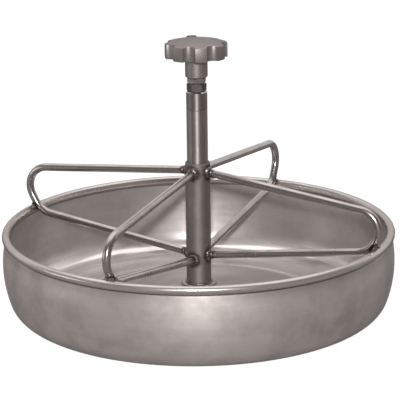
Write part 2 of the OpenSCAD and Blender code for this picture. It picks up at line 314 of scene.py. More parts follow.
# Dividers' lines: the bend that rests on the rim, its tack weld and the start of the upper leg
REST_CENTRE = BEAD_AT + polar(REST_TURN, BEND_LOW_R + WIRE_R + REST_GAP + BEAD_R)
TACK_AT = BEAD_AT + polar(REST_TURN, BEAD_R)
LEG_START = Vector((0, LEG_HIGH))


# Mesh work
def drawn(bm, points, closed=False):
    """New vertices at points, and the edges that join them in order."""
    line = [bm.verts.new(point) for point in points]
    pairs = list(zip(line, line[1:]))
    if closed:
        pairs.append((line[-1], line[0]))
    return line, [bm.edges.new(pair) for pair in pairs]


def spun(bm, section, steps, closed=True):
    """Spins a section round the column's axis and returns the new vertices."""
    old = set(bm.verts)
    line, edges = drawn(bm, [(radius, 0, height) for radius, height in section], closed)
    bmesh.ops.spin(
        bm, geom=line + edges, cent=ORIGIN, axis=COLUMN, angle=TURN, steps=steps, use_merge=True
    )
    made = [v for v in bm.verts if v not in old]
    bmesh.ops.remove_doubles(bm, verts=made, dist=MERGE)
    return [v for v in bm.verts if v not in old]


def faces_of(verts):
    """Faces whose corners are all among these vertices."""
    mine = set(verts)
    return {f for v in verts for f in v.link_faces if mine.issuperset(f.verts)}


def ring_edges(verts):
    """Edges whose ends are both among these vertices."""
    mine = set(verts)
    return list({e for v in verts for e in v.link_edges if mine.issuperset(e.verts)})


def verts_among(geometry):
    """Vertices in what an operator returned."""
    return [g for g in geometry if isinstance(g, bmesh.types.BMVert)]


def wire_end(bm, radius, sides, place):
    """Circle from which a wire is drawn."""
    return bmesh.ops.create_circle(bm, cap_ends=False, segments=sides, radius=radius, matrix=place)["verts"]


def feed(bm, verts, way):
    """Extrudes a ring of the wire straight on and returns the new ring's vertices."""
    made = bmesh.ops.extrude_edge_only(bm, edges=ring_edges(verts))
    ends = verts_among(made["geom"])
    bmesh.ops.translate(bm, verts=ends, vec=way)
    return ends


def bend(bm, verts, centre, axis, angle, steps):
    """Swings a ring of the wire round an axis and returns the new ring's vertices."""
    made = bmesh.ops.spin(
        bm, geom=verts + ring_edges(verts), cent=centre, axis=axis, angle=angle, steps=steps
    )
    return verts_among(made["geom_last"])


def wind(bm, verts, turns, pitch, steps):
    """Winds a ring up the column's axis as a helix."""
    made = bmesh.ops.spin(
        bm, geom=verts + ring_edges(verts), cent=ORIGIN, axis=COLUMN, angle=TURN * turns,
        steps=round(turns * steps), dvec=COLUMN * pitch / steps,
    )
    return verts_among(made["geom_last"])


def turn_about_column(bm, degrees, verts):
    """Turns vertices about the column's axis."""
    turn = Matrix.Rotation(math.radians(degrees), 3, "Z")
    bmesh.ops.rotate(bm, cent=ORIGIN, matrix=turn, verts=verts)


def leaning(start, way):
    """Matrix that takes the column's axis to a line of a section, through a point and along a direction."""
    lean = COLUMN.rotation_difference(upright(way)).to_matrix().to_4x4()
    return Matrix.Translation(upright(start)) @ lean


def roughen(verts, lumps, seed):
    """Moves vertices by smooth noise, as on a weld that froze unevenly."""
    depth, size = lumps
    for v in verts:
        v.co += noise.noise_vector(v.co / size + Vector((seed, 2 * seed, -seed))) * depth


def paint_second(faces):
    """Gives faces the second of their piece's materials."""
    for face in faces:
        face.material_index = SECOND_MATERIAL


def glint_chamfers(verts):
    """Gives the sloping faces among these vertices the second material, which paints glints on the chamfers.
    """
    faces = faces_of(verts)
    for face in faces:
        face.normal_update()
    paint_second(f for f in faces if CHAMFER_FROM < abs(f.normal.z) < CHAMFER_TO)


def piece(bm, name, materials, sharp=SHARP):
    """Closes a bmesh into an object with smooth faces and sharp edges."""
    bmesh.ops.recalc_face_normals(bm, faces=bm.faces)
    mesh = bpy.data.meshes.new(name)
    bm.to_mesh(mesh)
    bm.free()
    mesh.polygons.foreach_set("use_smooth", [True] * len(mesh.polygons))
    mesh.set_sharp_from_angle(angle=sharp)
    for material in materials:
        mesh.materials.append(material)
    made = bpy.data.objects.new(name, mesh)
    bpy.context.scene.collection.objects.link(made)
    return made


def dress(made, body, slot, *nodes):
    """Rides a piece on its body in place of CAD nodes, which it hides; the slot is not used."""
    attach(made, body)
    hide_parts(*nodes)
    return made


# Colours
BOWL_COLOUR = (0.500, 0.465, 0.453)
WALL_COLOUR = (0.562, 0.505, 0.482)
RIM_COLOUR = (0.535, 0.481, 0.460)
POST_COLOUR = (0.300, 0.268, 0.257)
TUBE_COLOUR = (0.360, 0.324, 0.311)
PLUG_COLOUR = (0.310, 0.276, 0.264)
KNOB_COLOUR = (0.285, 0.254, 0.244)
WIRE_COLOUR = (0.420, 0.378, 0.363)
NUT_COLOUR = (0.095, 0.083, 0.079)
JAM_COLOUR = (0.270, 0.242, 0.232)
# Painted glints: a light steel for the chamfers of the plug and nuts
CHAMFER_GLINT_COLOUR = (0.480, 0.432, 0.415)
WELD_COLOUR = (0.190, 0.170, 0.160)
BAR_COLOUR = (0.230, 0.202, 0.192)
SPRING_COLOUR = (0.160, 0.140, 0.132)
# Places on the way out from a weld, as shares of its reach, and the oxide's colours there
HEAT_COLOURS = (
    (0.0, (0.035, 0.030, 0.028, 1)), (0.3, (0.075, 0.060, 0.055, 1)), (0.55, (0.050, 0.044, 0.046, 1)),
    (0.8, (0.150, 0.118, 0.092, 1)), (1.0, (0.240, 0.205, 0.190, 1)),
)

# Finishes: tones are shares of a steel's colour, and edges are values between which a mark sets in or fades
NOISE_MIDDLE = 0.5
ALONG_RINGS = 0.25
BRUSHED_EDGE_TINT = 0.5
PLAIN_EDGE_TINT = 0.9
GRAIN_TONES = (0.88, 1.12)
GRAIN_MATT = 0.12
BAND_TONE = 1.16
BAND_EDGE = (0.35, 0.65)
BAND_SHARE = 0.35
BLOTCH_EDGE = (0.35, 0.7)
MATT_EDGE = (0.3, 0.7)
CLOUD_TONE = 0.7
CLOUD_MATT = 0.22
PIT_EDGE = (0.63, 0.74)
PIT_TONE = 0.6
PIT_SHARE = 0.35
SCRATCH_TURN = (0.4, 0.9, 0.5)
SCRATCH_STRETCH = (1.0, 14.0, 1.0)
SCRATCH_EDGE = (0.0, 0.012)
SCRATCH_DEPTH = 0.01 * MM
HEAT_WAVES = 420.0
HEAT_SWAY = 0.5
HEAT_EDGE = (0.55, 1.1)
SLEEVE_HEAT_REACH = 8 * MM
WIRE_HEAT_REACH = 5.5 * MM
NO_WELD_NEAR = 1.0
WIRE_TONES = (1.08, 0.9)
WIRE_ROUGHNESS = (0.2, 0.28)
PLAIN_ANISOTROPY = 0.3
PLAIN_TONES = (1.15, 0.75)
PLAIN_SMOOTHER = 0.06
PLAIN_ROUGHER = 0.08
PLAIN_PIT_TONE = 0.4
PLAIN_PIT_SHARE = 0.6
WELD_SKIN = 700.0
WELD_SKIN_EDGE = (0.38, 0.62)
WELD_TONES = (0.6, 1.5)
WELD_MATT_EDGE = (0.35, 0.65)
WELD_ROUGHNESS = (0.5, 0.3)

# Bowl's painted shade under the rim, its floor's polish, and painted sheen on the floor and crease
RIM_SHADE_INSET = 0.8 * MM
RIM_SHADE_EDGE = (0.4 * MM, 2.4 * MM)
RIM_SHADE_SHARE = 0.6
RIM_SHADE_TONE = 0.25
# Painted shade in a band outside the bowl, under the rim
NECK_SHADE_EDGE = (NECK_H - 8 * MM, NECK_H - 1 * MM)
NECK_SHADE_SHARE = 0.25
NECK_SHADE_TONE = 0.35
FLOOR_ROUGHNESS = 0.18
FLOOR_METALLIC = 0.6
FLOOR_EDGE = (6 * MM, 18 * MM)
# Painted sheen: the polished floor's tone is painted lighter
FLOOR_SHEEN_TONE = 1.9
CONE_EDGE = (CONE_R - 6 * MM, CONE_R + 2 * MM)
CONE_POLISH = 0.4
# Painted highlight: a light line along the floor's crease
CREASE_HIGHLIGHT_EDGE = (1.5 * MM, 6.5 * MM)
CREASE_HIGHLIGHT_TONE = 2.2
PAINTED_LIGHT_SHARE = 0.8


# Shader groups
def new_group(name, inputs, outputs):
    """Node group with float inputs and outputs of given kinds, and its two end nodes."""
    tree = bpy.data.node_groups.new(name, "ShaderNodeTree")
    for label, value in inputs:
        socket = tree.interface.new_socket(label, in_out="INPUT", socket_type="NodeSocketFloat")
        socket.default_value = value
    for label, kind in outputs:
        tree.interface.new_socket(label, in_out="OUTPUT", socket_type=kind)
    return tree, tree.nodes.new("NodeGroupInput"), tree.nodes.new("NodeGroupOutput")


class Wiring:
    """Short ways to add and join nodes in a tree."""

    MEASURES = ("LENGTH", "DISTANCE", "DOT_PRODUCT")
    MIX_FACTOR, MIX_FIRST, MIX_SECOND, MIX_COLOUR = 0, 6, 7, 2

    def __init__(self, tree):
        self.tree = tree

    def add(self, kind, **settings):
        node = self.tree.nodes.new("ShaderNode" + kind)
        for name, value in settings.items():
            setattr(node, name, value)
        return node

    def link(self, source, target):
        self.tree.links.new(source, target)

    def put(self, target, value):
        """Joins a socket to another, or sets it to a constant."""
        if isinstance(value, bpy.types.NodeSocket):
            self.link(value, target)
        else:
            target.default_value = value

    def math(self, operation, *values, clamp=False):
        node = self.add("Math", operation=operation, use_clamp=clamp)
        for socket, value in zip(node.inputs, values):
            self.put(socket, value)
        return node.outputs[0]

    def vector(self, operation, *values):
        node = self.add("VectorMath", operation=operation)
        for socket, value in zip(node.inputs, values):
            self.put(socket, value)
        return node.outputs["Value" if operation in self.MEASURES else "Vector"]

    def span(self, value, low, high, to_low=0.0, to_high=1.0):
        """Maps a range of values to another, smoothly at both ends."""
        node = self.add("MapRange", interpolation_type="SMOOTHSTEP")
        for socket, given in zip(node.inputs, (value, low, high, to_low, to_high)):
            self.put(socket, given)
        return node.outputs["Result"]

    def noise(self, vector, scale, detail=2.0, roughness=0.5):
        node = self.add("TexNoise", noise_dimensions="3D")
        self.link(vector, node.inputs["Vector"])
        for label, value in (("Scale", scale), ("Detail", detail), ("Roughness", roughness)):
            self.put(node.inputs[label], value)
        return node.outputs["Fac"]

    def mix(self, factor, first, second):
        """Mix of two colours."""
        node = self.add("Mix", data_type="RGBA")
        self.put(node.inputs[self.MIX_FACTOR], factor)
        self.put(node.inputs[self.MIX_FIRST], first)
        self.put(node.inputs[self.MIX_SECOND], second)
        return node.outputs[self.MIX_COLOUR]

    def place(self, tree, **values):
        """Node of a shader group, with its inputs set."""
        node = self.add("Group", node_tree=tree)
        for label, value in values.items():
            self.put(node.inputs[label], value)
        return node


def ring_grain_group():
    """Grain that runs in rings round the column's axis, as a spinning brush leaves it."""
    tree, given, made = new_group(
        "ring_grain",
        [("Lines", 900.0), ("Drift", 2.0), ("Band", 60.0)],
        [("Grain", "NodeSocketFloat"), ("Bands", "NodeSocketFloat")],
    )
    w = Wiring(tree)
    at = w.add("SeparateXYZ")
    w.link(w.add("TexCoord").outputs["Object"], at.inputs[0])
    flat = w.add("CombineXYZ")
    w.link(at.outputs["X"], flat.inputs["X"])
    w.link(at.outputs["Y"], flat.inputs["Y"])
    radius = w.vector("LENGTH", flat.outputs[0])
    way = w.vector("NORMALIZE", flat.outputs[0])
    across = w.math("ADD", radius, at.outputs["Z"])
    for label, output, detail in (("Lines", "Grain", 3.0), ("Band", "Bands", 1.0)):
        drifted = w.add("VectorMath", operation="SCALE")
        w.link(way, drifted.inputs[0])
        w.link(given.outputs["Drift"], drifted.inputs["Scale"])
        lines = w.add("CombineXYZ")
        w.link(w.math("MULTIPLY", across, given.outputs[label]), lines.inputs["Z"])
        place = w.vector("ADD", drifted.outputs[0], lines.outputs[0])
        w.link(w.noise(place, 1.0, detail), made.inputs[output])
    return tree


def handling_group():
    """Blotches, small pits and hair scratches of a thing that is washed and knocked about."""
    tree, given, made = new_group(
        "handling",
        [("Blotch", 35.0), ("Pit", 900.0), ("Scratch", 140.0)],
        [("Blotches", "NodeSocketFloat"), ("Pits", "NodeSocketFloat"), ("Scratches", "NodeSocketFloat")],
    )
    w = Wiring(tree)
    at = w.add("TexCoord").outputs["Object"]
    w.link(w.noise(at, given.outputs["Blotch"], detail=4.0, roughness=0.6), made.inputs["Blotches"])
    w.link(w.span(w.noise(at, given.outputs["Pit"]), *PIT_EDGE), made.inputs["Pits"])
    turned = w.add("Mapping")
    w.link(at, turned.inputs["Vector"])
    turned.inputs["Rotation"].default_value = SCRATCH_TURN
    turned.inputs["Scale"].default_value = SCRATCH_STRETCH
    thin = w.noise(turned.outputs[0], given.outputs["Scratch"], detail=3.0, roughness=0.7)
    off_middle = w.math("ABSOLUTE", w.math("SUBTRACT", thin, NOISE_MIDDLE))
    w.link(w.span(off_middle, *SCRATCH_EDGE, 1.0, 0.0), made.inputs["Scratches"])
    return tree


def heat_group():
    """Colours that welding leaves on steel, by the distance from the weld."""
    tree, given, made = new_group(
        "heat",
        [("Distance", 1.0), ("Reach", 0.006)],
        [("Colour", "NodeSocketColor"), ("Mask", "NodeSocketFloat")],
    )
    w = Wiring(tree)
    at = w.add("TexCoord").outputs["Object"]
    wavy = w.math("MULTIPLY_ADD", w.noise(at, HEAT_WAVES), HEAT_SWAY, -HEAT_SWAY / 2)
    far = w.math("ADD", w.math("DIVIDE", given.outputs["Distance"], given.outputs["Reach"]), wavy)
    ramp = w.add("ValToRGB")
    w.link(far, ramp.inputs["Fac"])
    stops = ramp.color_ramp.elements
    for place, colour in HEAT_COLOURS[1:-1]:
        stops.new(place).color = colour
    stops[0].color = HEAT_COLOURS[0][1]
    stops[-1].color = HEAT_COLOURS[-1][1]
    w.link(ramp.outputs["Color"], made.inputs["Colour"])
    w.link(w.span(far, *HEAT_EDGE, 1.0, 0.0), made.inputs["Mask"])
    return tree


RING_GRAIN = ring_grain_group()
HANDLING = handling_group()
HEAT = heat_group()


# Materials
def steel(name, colour, roughness, anisotropy, edge_tint, metallic=1.0):
    """Metal with its principled shader: constants sit on the shader, the rest is wired by the caller."""
    material = bpy.data.materials.new(name)
    material.use_nodes = True
    w = Wiring(material.node_tree)
    shader = material.node_tree.nodes["Principled BSDF"]
    shader.inputs["Metallic"].default_value = metallic
    shader.inputs["Base Color"].default_value = (*colour, 1)
    shader.inputs["Roughness"].default_value = roughness
    shader.inputs["Anisotropic"].default_value = anisotropy
    shader.inputs["Anisotropic Rotation"].default_value = ALONG_RINGS
    shader.inputs["Specular Tint"].default_value = (edge_tint, edge_tint, edge_tint, 1)
    return material, w, shader


def shaded(colour, share):
    """Colour at a share of its brightness."""
    return (*(c * share for c in colour), 1)


def two_tones(colour, shares):
    """Colour at two shares of its brightness."""
    return [shaded(colour, share) for share in shares]


def bumped(w, shader, *layers):
    """Chains bump nodes: each layer is a height socket, its strength and its depth."""
    normal = None
    for height, strength, depth in layers:
        node = w.add("Bump")
        node.inputs["Strength"].default_value = strength
        node.inputs["Distance"].default_value = depth
        w.link(height, node.inputs["Height"])
        if normal:
            w.link(normal, node.inputs["Normal"])
        normal = node.outputs[0]
    w.link(normal, shader.inputs["Normal"])


def brushed_steel(
    name, colour, roughness, anisotropy, lines, band, grain_depth,
    tint_and_shade=None, wear_and_sheen=None, metallic=1.0, clouds=0.3, wave=0.0, lumps=0.25 * MM,
):
    """Steel brushed in rings, with clouds, waves and hair scratches, and where given a tint, which is weld
    oxide on the sleeve and painted shade on the bowl, and the floor's polish with its painted sheen.
    """
    material, w, shader = steel(name, colour, roughness, anisotropy, BRUSHED_EDGE_TINT, metallic)
    brush = w.place(RING_GRAIN, Lines=lines, Band=band)
    grain, bands = brush.outputs["Grain"], brush.outputs["Bands"]
    worn = w.place(HANDLING)
    blotches = worn.outputs["Blotches"]
    tone = w.mix(grain, *two_tones(colour, GRAIN_TONES))
    tone = w.mix(w.span(bands, *BAND_EDGE, 0.0, BAND_SHARE), tone, shaded(colour, BAND_TONE))
    tone = w.mix(w.span(blotches, *BLOTCH_EDGE, 0.0, clouds), tone, shaded(colour, CLOUD_TONE))
    tone = w.mix(w.math("MULTIPLY", worn.outputs["Pits"], PIT_SHARE), tone, shaded(colour, PIT_TONE))
    # Tint: weld oxide on the sleeve, painted shade on the bowl
    if tint_and_shade:
        mask, dark = tint_and_shade(w)
        tone = w.mix(mask, tone, dark)
    # Floor: polish, and painted sheen in the tone
    if wear_and_sheen:
        tone, polish = wear_and_sheen(w, tone, colour)
        roughness = w.math("MULTIPLY_ADD", polish, FLOOR_ROUGHNESS - roughness, roughness)
        shine = w.math("MULTIPLY_ADD", polish, FLOOR_METALLIC - metallic, metallic)
        w.link(shine, shader.inputs["Metallic"])
    w.link(tone, shader.inputs["Base Color"])
    matt = w.math("MULTIPLY_ADD", w.math("SUBTRACT", blotches, NOISE_MIDDLE), CLOUD_MATT, roughness)
    matt = w.math("MULTIPLY_ADD", w.math("SUBTRACT", grain, NOISE_MIDDLE), GRAIN_MATT, matt)
    w.link(matt, shader.inputs["Roughness"])
    bumped(
        w, shader,
        (bands, 1.0, wave),
        (blotches, 0.25, lumps),
        (grain, 0.35, grain_depth),
        (worn.outputs["Scratches"], 0.10, SCRATCH_DEPTH),
    )
    return material


def object_radius(w):
    """Distance from the column's axis, and the separate coordinates."""
    at = w.add("SeparateXYZ")
    w.link(w.add("TexCoord").outputs["Object"], at.inputs[0])
    squares = [w.math("POWER", at.outputs[axis], 2.0) for axis in "XY"]
    return w.math("SQRT", w.math("ADD", *squares)), at


def section_distance(w, place):
    """Distance from a ring round the column's axis, given as a radius and a height."""
    radius, at = object_radius(w)
    out = w.math("SUBTRACT", radius, place.x)
    rise = w.math("SUBTRACT", at.outputs["Z"], place.y)
    return w.math("SQRT", w.math("ADD", w.math("POWER", out, 2.0), w.math("POWER", rise, 2.0)))


def rim_painted_shade(w):
    """Painted shade in the groove under the rolled rim, inside the bowl: its mask and colour."""
    groove = Vector((BOWL_R - NECK_INSET - SHEET - RIM_SHADE_INSET, NECK_H))
    mask = w.span(section_distance(w, groove), *RIM_SHADE_EDGE, RIM_SHADE_SHARE, 0.0)
    return mask, shaded(BOWL_COLOUR, RIM_SHADE_TONE)


def neck_painted_shade(w):
    """Painted shade: a darker band outside the bowl, under the rim: mask and colour."""
    height = object_radius(w)[1].outputs["Z"]
    return w.span(height, *NECK_SHADE_EDGE, 0.0, NECK_SHADE_SHARE), shaded(WALL_COLOUR, NECK_SHADE_TONE)


def floor_polish_and_sheen(w, tone, colour):
    """Feed and washing polish the bowl's floor smoother; its tone is painted lighter there as a painted
    sheen, with a painted highlight along the crease: the tone, and the share of polish.
    """
    radius, at = object_radius(w)
    low = w.span(at.outputs["Z"], *FLOOR_EDGE, 1.0, 0.0)
    ring = w.span(radius, *CONE_EDGE, CONE_POLISH, 1.0)
    polish = w.math("MULTIPLY", low, ring)
    from_crease = w.math("ABSOLUTE", w.math("SUBTRACT", radius, CONE_R))
    crease = w.span(from_crease, *CREASE_HIGHLIGHT_EDGE, 1.0, 0.0)
    # Painted sheen on the polished floor, and a painted highlight along the crease
    tone = w.mix(w.math("MULTIPLY", polish, PAINTED_LIGHT_SHARE), tone, shaded(colour, FLOOR_SHEEN_TONE))
    tone = w.mix(w.math("MULTIPLY", crease, PAINTED_LIGHT_SHARE), tone, shaded(colour, CREASE_HIGHLIGHT_TONE))
    return tone, polish


def sleeve_heat(w):
    """Weld colours on the sleeve, round the ends of the dividers' legs: their mask and colour."""
    at = w.add("TexCoord").outputs["Object"]
    near = NO_WELD_NEAR
    for turn, top, low in DIVIDERS.values():
        for height in (LEG_HIGH + (top - LEG_HIGH) * SLEEVE_R / LOOP_REACH, low + LOW_SLOPE * SLEEVE_R):
            weld = Vector((*polar(turn, SLEEVE_R), height))
            near = w.math("MINIMUM", w.vector("DISTANCE", at, weld), near)
    heat = w.place(HEAT, Distance=near, Reach=SLEEVE_HEAT_REACH)
    return heat.outputs["Mask"], heat.outputs["Colour"]


def wire_heat(w):
    """Weld colours on a divider, by the sleeve and where it is tacked to the rim: their mask and colour."""
    inner = w.math("SUBTRACT", object_radius(w)[0], SLEEVE_R)
    near = w.math("MINIMUM", inner, section_distance(w, TACK_AT))
    heat = w.place(HEAT, Distance=near, Reach=WIRE_HEAT_REACH)
    return heat.outputs["Mask"], heat.outputs["Colour"]


def wire_steel():
    """Drawn and polished wire: blotches, hair scratches and weld colours."""
    material, w, shader = steel("wire_steel", WIRE_COLOUR, WIRE_ROUGHNESS[0], 0.0, PLAIN_EDGE_TINT)
    worn = w.place(HANDLING, Blotch=60.0, Scratch=300.0)
    blotches = worn.outputs["Blotches"]
    tone = w.mix(w.span(blotches, *BLOTCH_EDGE), *two_tones(WIRE_COLOUR, WIRE_TONES))
    mask, oxide = wire_heat(w)
    w.link(w.mix(mask, tone, oxide), shader.inputs["Base Color"])
    w.link(w.span(blotches, *MATT_EDGE, *WIRE_ROUGHNESS), shader.inputs["Roughness"])
    bumped(w, shader, (blotches, 0.1, 0.1 * MM), (worn.outputs["Scratches"], 0.06, SCRATCH_DEPTH))
    return material


def weld_steel():
    """Frozen weld: dark oxide in the hollows, bright crests and a pitted skin."""
    material, w, shader = steel("weld_bead", WELD_COLOUR, roughness=0.32, anisotropy=0.0, edge_tint=1.0)
    at = w.add("TexCoord").outputs["Object"]
    skin = w.noise(at, WELD_SKIN, detail=3.0, roughness=0.6)
    tone = w.mix(w.span(skin, *WELD_SKIN_EDGE), *two_tones(WELD_COLOUR, WELD_TONES))
    w.link(tone, shader.inputs["Base Color"])
    w.link(w.span(skin, *WELD_MATT_EDGE, *WELD_ROUGHNESS), shader.inputs["Roughness"])
    bumped(w, shader, (skin, 0.4, 0.15 * MM))
    return material


def plain_steel(name, colour, roughness, metallic=1.0, pit=2200.0):
    """Small turned or rolled pieces: blotched, pitted and lightly scratched."""
    material, w, shader = steel(name, colour, roughness, PLAIN_ANISOTROPY, PLAIN_EDGE_TINT, metallic)
    worn = w.place(HANDLING, Blotch=160.0, Pit=pit, Scratch=500.0)
    blotches = worn.outputs["Blotches"]
    tone = w.mix(w.span(blotches, *BLOTCH_EDGE), *two_tones(colour, PLAIN_TONES))
    pits = w.math("MULTIPLY", worn.outputs["Pits"], PLAIN_PIT_SHARE)
    w.link(w.mix(pits, tone, shaded(colour, PLAIN_PIT_TONE)), shader.inputs["Base Color"])
    matt = w.span(blotches, *MATT_EDGE, roughness - PLAIN_SMOOTHER, roughness + PLAIN_ROUGHER)
    w.link(matt, shader.inputs["Roughness"])
    bumped(w, shader, (blotches, 0.2, 0.08 * MM), (worn.outputs["Scratches"], 0.15, SCRATCH_DEPTH))
    return material


# Outside: painted shade in a band under the rim
OUTER_STEEL = brushed_steel(
    "outer_steel", WALL_COLOUR, roughness=0.54, anisotropy=0.4, lines=1500.0, band=110.0,
    grain_depth=0.02 * MM, tint_and_shade=neck_painted_shade, metallic=0.8, clouds=0.7,
)
# Inside: painted shade under the rim, and the floor's polish with painted sheen
INNER_STEEL = brushed_steel(
    "inner_steel", BOWL_COLOUR, roughness=0.5, anisotropy=0.5, lines=1500.0, band=140.0,
    grain_depth=0.008 * MM, tint_and_shade=rim_painted_shade, wear_and_sheen=floor_polish_and_sheen, metallic=0.84, clouds=0.5,
    wave=0.4 * MM, lumps=0.03 * MM,
)
# Rolled rim: painted shade where it meets the wall inside
RIM_STEEL = brushed_steel(
    "rim_steel", RIM_COLOUR, roughness=0.28, anisotropy=0.0, lines=1500.0, band=110.0,
    grain_depth=0.005 * MM, tint_and_shade=rim_painted_shade, metallic=0.85, lumps=0.04 * MM,
)
TUBE_BRUSH = {"lines": 2600.0, "band": 160.0, "grain_depth": 0.008 * MM}
POST_STEEL = brushed_steel(
    "post_steel", POST_COLOUR, roughness=0.62, anisotropy=0.3, tint_and_shade=sleeve_heat, **TUBE_BRUSH
)
PLUNGER_STEEL = brushed_steel("plunger_steel", TUBE_COLOUR, roughness=0.5, anisotropy=0.75, **TUBE_BRUSH)
PLUG_STEEL = brushed_steel("plug_steel", PLUG_COLOUR, roughness=0.5, anisotropy=0.75, **TUBE_BRUSH)
KNOB_STEEL = brushed_steel(
    "knob_steel", KNOB_COLOUR, roughness=0.5, anisotropy=0.2, lines=1400.0, band=700.0,
    grain_depth=0.12 * MM, metallic=0.75, clouds=0.5,
)
WASHER_STEEL = brushed_steel(
    "washer_steel", BOWL_COLOUR, roughness=0.36, anisotropy=0.4, lines=2200.0, band=300.0,
    grain_depth=0.02 * MM,
)
WIRE_STEEL = wire_steel()
WELD_STEEL = weld_steel()
NUT_STEEL = plain_steel("nut_steel", NUT_COLOUR, roughness=0.42, metallic=0.7, pit=1000.0)
JAM_STEEL = plain_steel("jam_steel", JAM_COLOUR, roughness=0.4, metallic=0.8, pit=1000.0)
# Painted glints on the chamfers of the plug and nuts
CHAMFER_GLINT_STEEL = plain_steel("chamfer_glint_steel", CHAMFER_GLINT_COLOUR, roughness=0.24)
BAR_STEEL = plain_steel("bar_steel", BAR_COLOUR, roughness=0.38)
SPRING_STEEL = plain_steel("spring_steel", SPRING_COLOUR, roughness=0.3)


# Bowl
def bowl_line():
    """Middle of the bowl's sheet, from the rod's hole over the floor and up the wall into the rolled rim."""
    rise = NECK_H - BULGE_H
    bulge_r = (rise * rise + NECK_INSET * NECK_INSET) / (2 * NECK_INSET)
    bulge_at = Vector((BOWL_R - bulge_r, BULGE_H))
    drop = BULGE_H - CORNER_R
    corner_at = Vector((bulge_at.x + math.sqrt((bulge_r - CORNER_R) ** 2 - drop * drop), CORNER_R))
    corner_turn = heading(corner_at - bulge_at)
    hole = Vector((ROD_HOLE_R, CENTRE_MID))
    shoulder = Vector((CENTRE_R, CENTRE_MID))
    crease = Vector((CONE_R, FLOOR_MID))
    foot = Vector((corner_at.x, FLOOR_MID))
    curl = arc(BEAD_AT, BEAD_R - SHEET / 2, CURL_START, CURL_END, CURL_STEPS)
    neck_turn = math.degrees(math.asin((NECK_H - SHEET - BULGE_H) / bulge_r))
    wall = arc(bulge_at, bulge_r - SHEET / 2, corner_turn, neck_turn, WALL_STEPS)
    line = [hole]
    line += rounded_corner(hole, shoulder, crease, SHOULDER_R, SHOULDER_STEPS)
    line += rounded_corner(shoulder, crease, foot, CREASE_R, CREASE_STEPS)
    line += arc(corner_at, CORNER_R - SHEET / 2, -90, corner_turn, CORNER_STEPS)
    line += wall[1:-1]
    line += rounded_corner(wall[-2], wall[-1], curl[0], NECK_BEND_R, NECK_STEPS)
    return line + curl


def make_bowl():
    """Pressed bowl: satin outside, smoother inside and on the rolled rim."""
    inside, rim = 1, 2
    bm = bmesh.new()
    spun(bm, thickened(bowl_line(), SHEET), BOWL_STEPS)
    bmesh.ops.recalc_face_normals(bm, faces=bm.faces)
    for face in bm.faces:
        middle = face.calc_center_median()
        out = Vector((middle.x, middle.y, 0)).normalized()
        section = Vector((middle.dot(out), middle.z))
        if (section - BEAD_AT).length < BEAD_R + EDGE:
            face.material_index = rim
        elif face.normal.z > face.normal.dot(out):
            face.material_index = inside
    dress(piece(bm, "feeder_bowl", [OUTER_STEEL, INNER_STEEL, RIM_STEEL]), "base", "bowl_steel", "bowl")


# Dividers
def weld_collar(bm, start, way, seed):
    """Rippled bead round a leg's end, coped so that it ends in the sleeve's wall."""
    section = [(0, 0), (WELD_CORE_R, 0)]
    for k in range(WELD_RINGS):
        section.append((WELD_R - WELD_RING_INSET * k * k, SLEEVE_R - WELD_SUNK + WELD_RING_RISE * k))
    section += [
        (WIRE_R + WELD_TOE, SLEEVE_R + WELD_L * WELD_TOE_SHARE),
        (WIRE_R - WELD_TIP_INSET, SLEEVE_R + WELD_L), (0, SLEEVE_R + WELD_L),
    ]
    verts = spun(bm, section, WELD_STEPS, closed=False)
    for v in verts:
        out = Vector((v.co.x, v.co.y, 0))
        turn = math.atan2(v.co.y, v.co.x)
        ripple = math.sin(WELD_RIPPLES * turn + seed + v.co.z / MM)
        v.co += out * WELD_RIPPLE_SHARE * ripple
        v.co.z += WELD_RIPPLE_H * ripple * out.length / WELD_R
    roughen(verts, WELD_LUMPS, seed)
    bmesh.ops.transform(bm, matrix=leaning(start, way), verts=verts)
    root = SLEEVE_R - WELD_ROOT
    for v in verts:
        if math.hypot(v.co.x, v.co.y) < root:
            v.co.x = math.sqrt(root * root - v.co.y * v.co.y)
    return verts


def tack_weld(bm, seed):
    """Uneven blob between the wire and the rim."""
    verts = bmesh.ops.create_icosphere(bm, subdivisions=4, radius=TACK_R)["verts"]
    bmesh.ops.scale(bm, vec=TACK_SHAPE, verts=verts)
    roughen(verts, TACK_LUMPS, seed)
    roughen(verts, TACK_GRAINS, seed + TACK_GRAIN_SEED)
    bmesh.ops.translate(bm, verts=verts, vec=upright(TACK_AT + polar(REST_TURN - 180, TACK_SUNK)))
    return verts


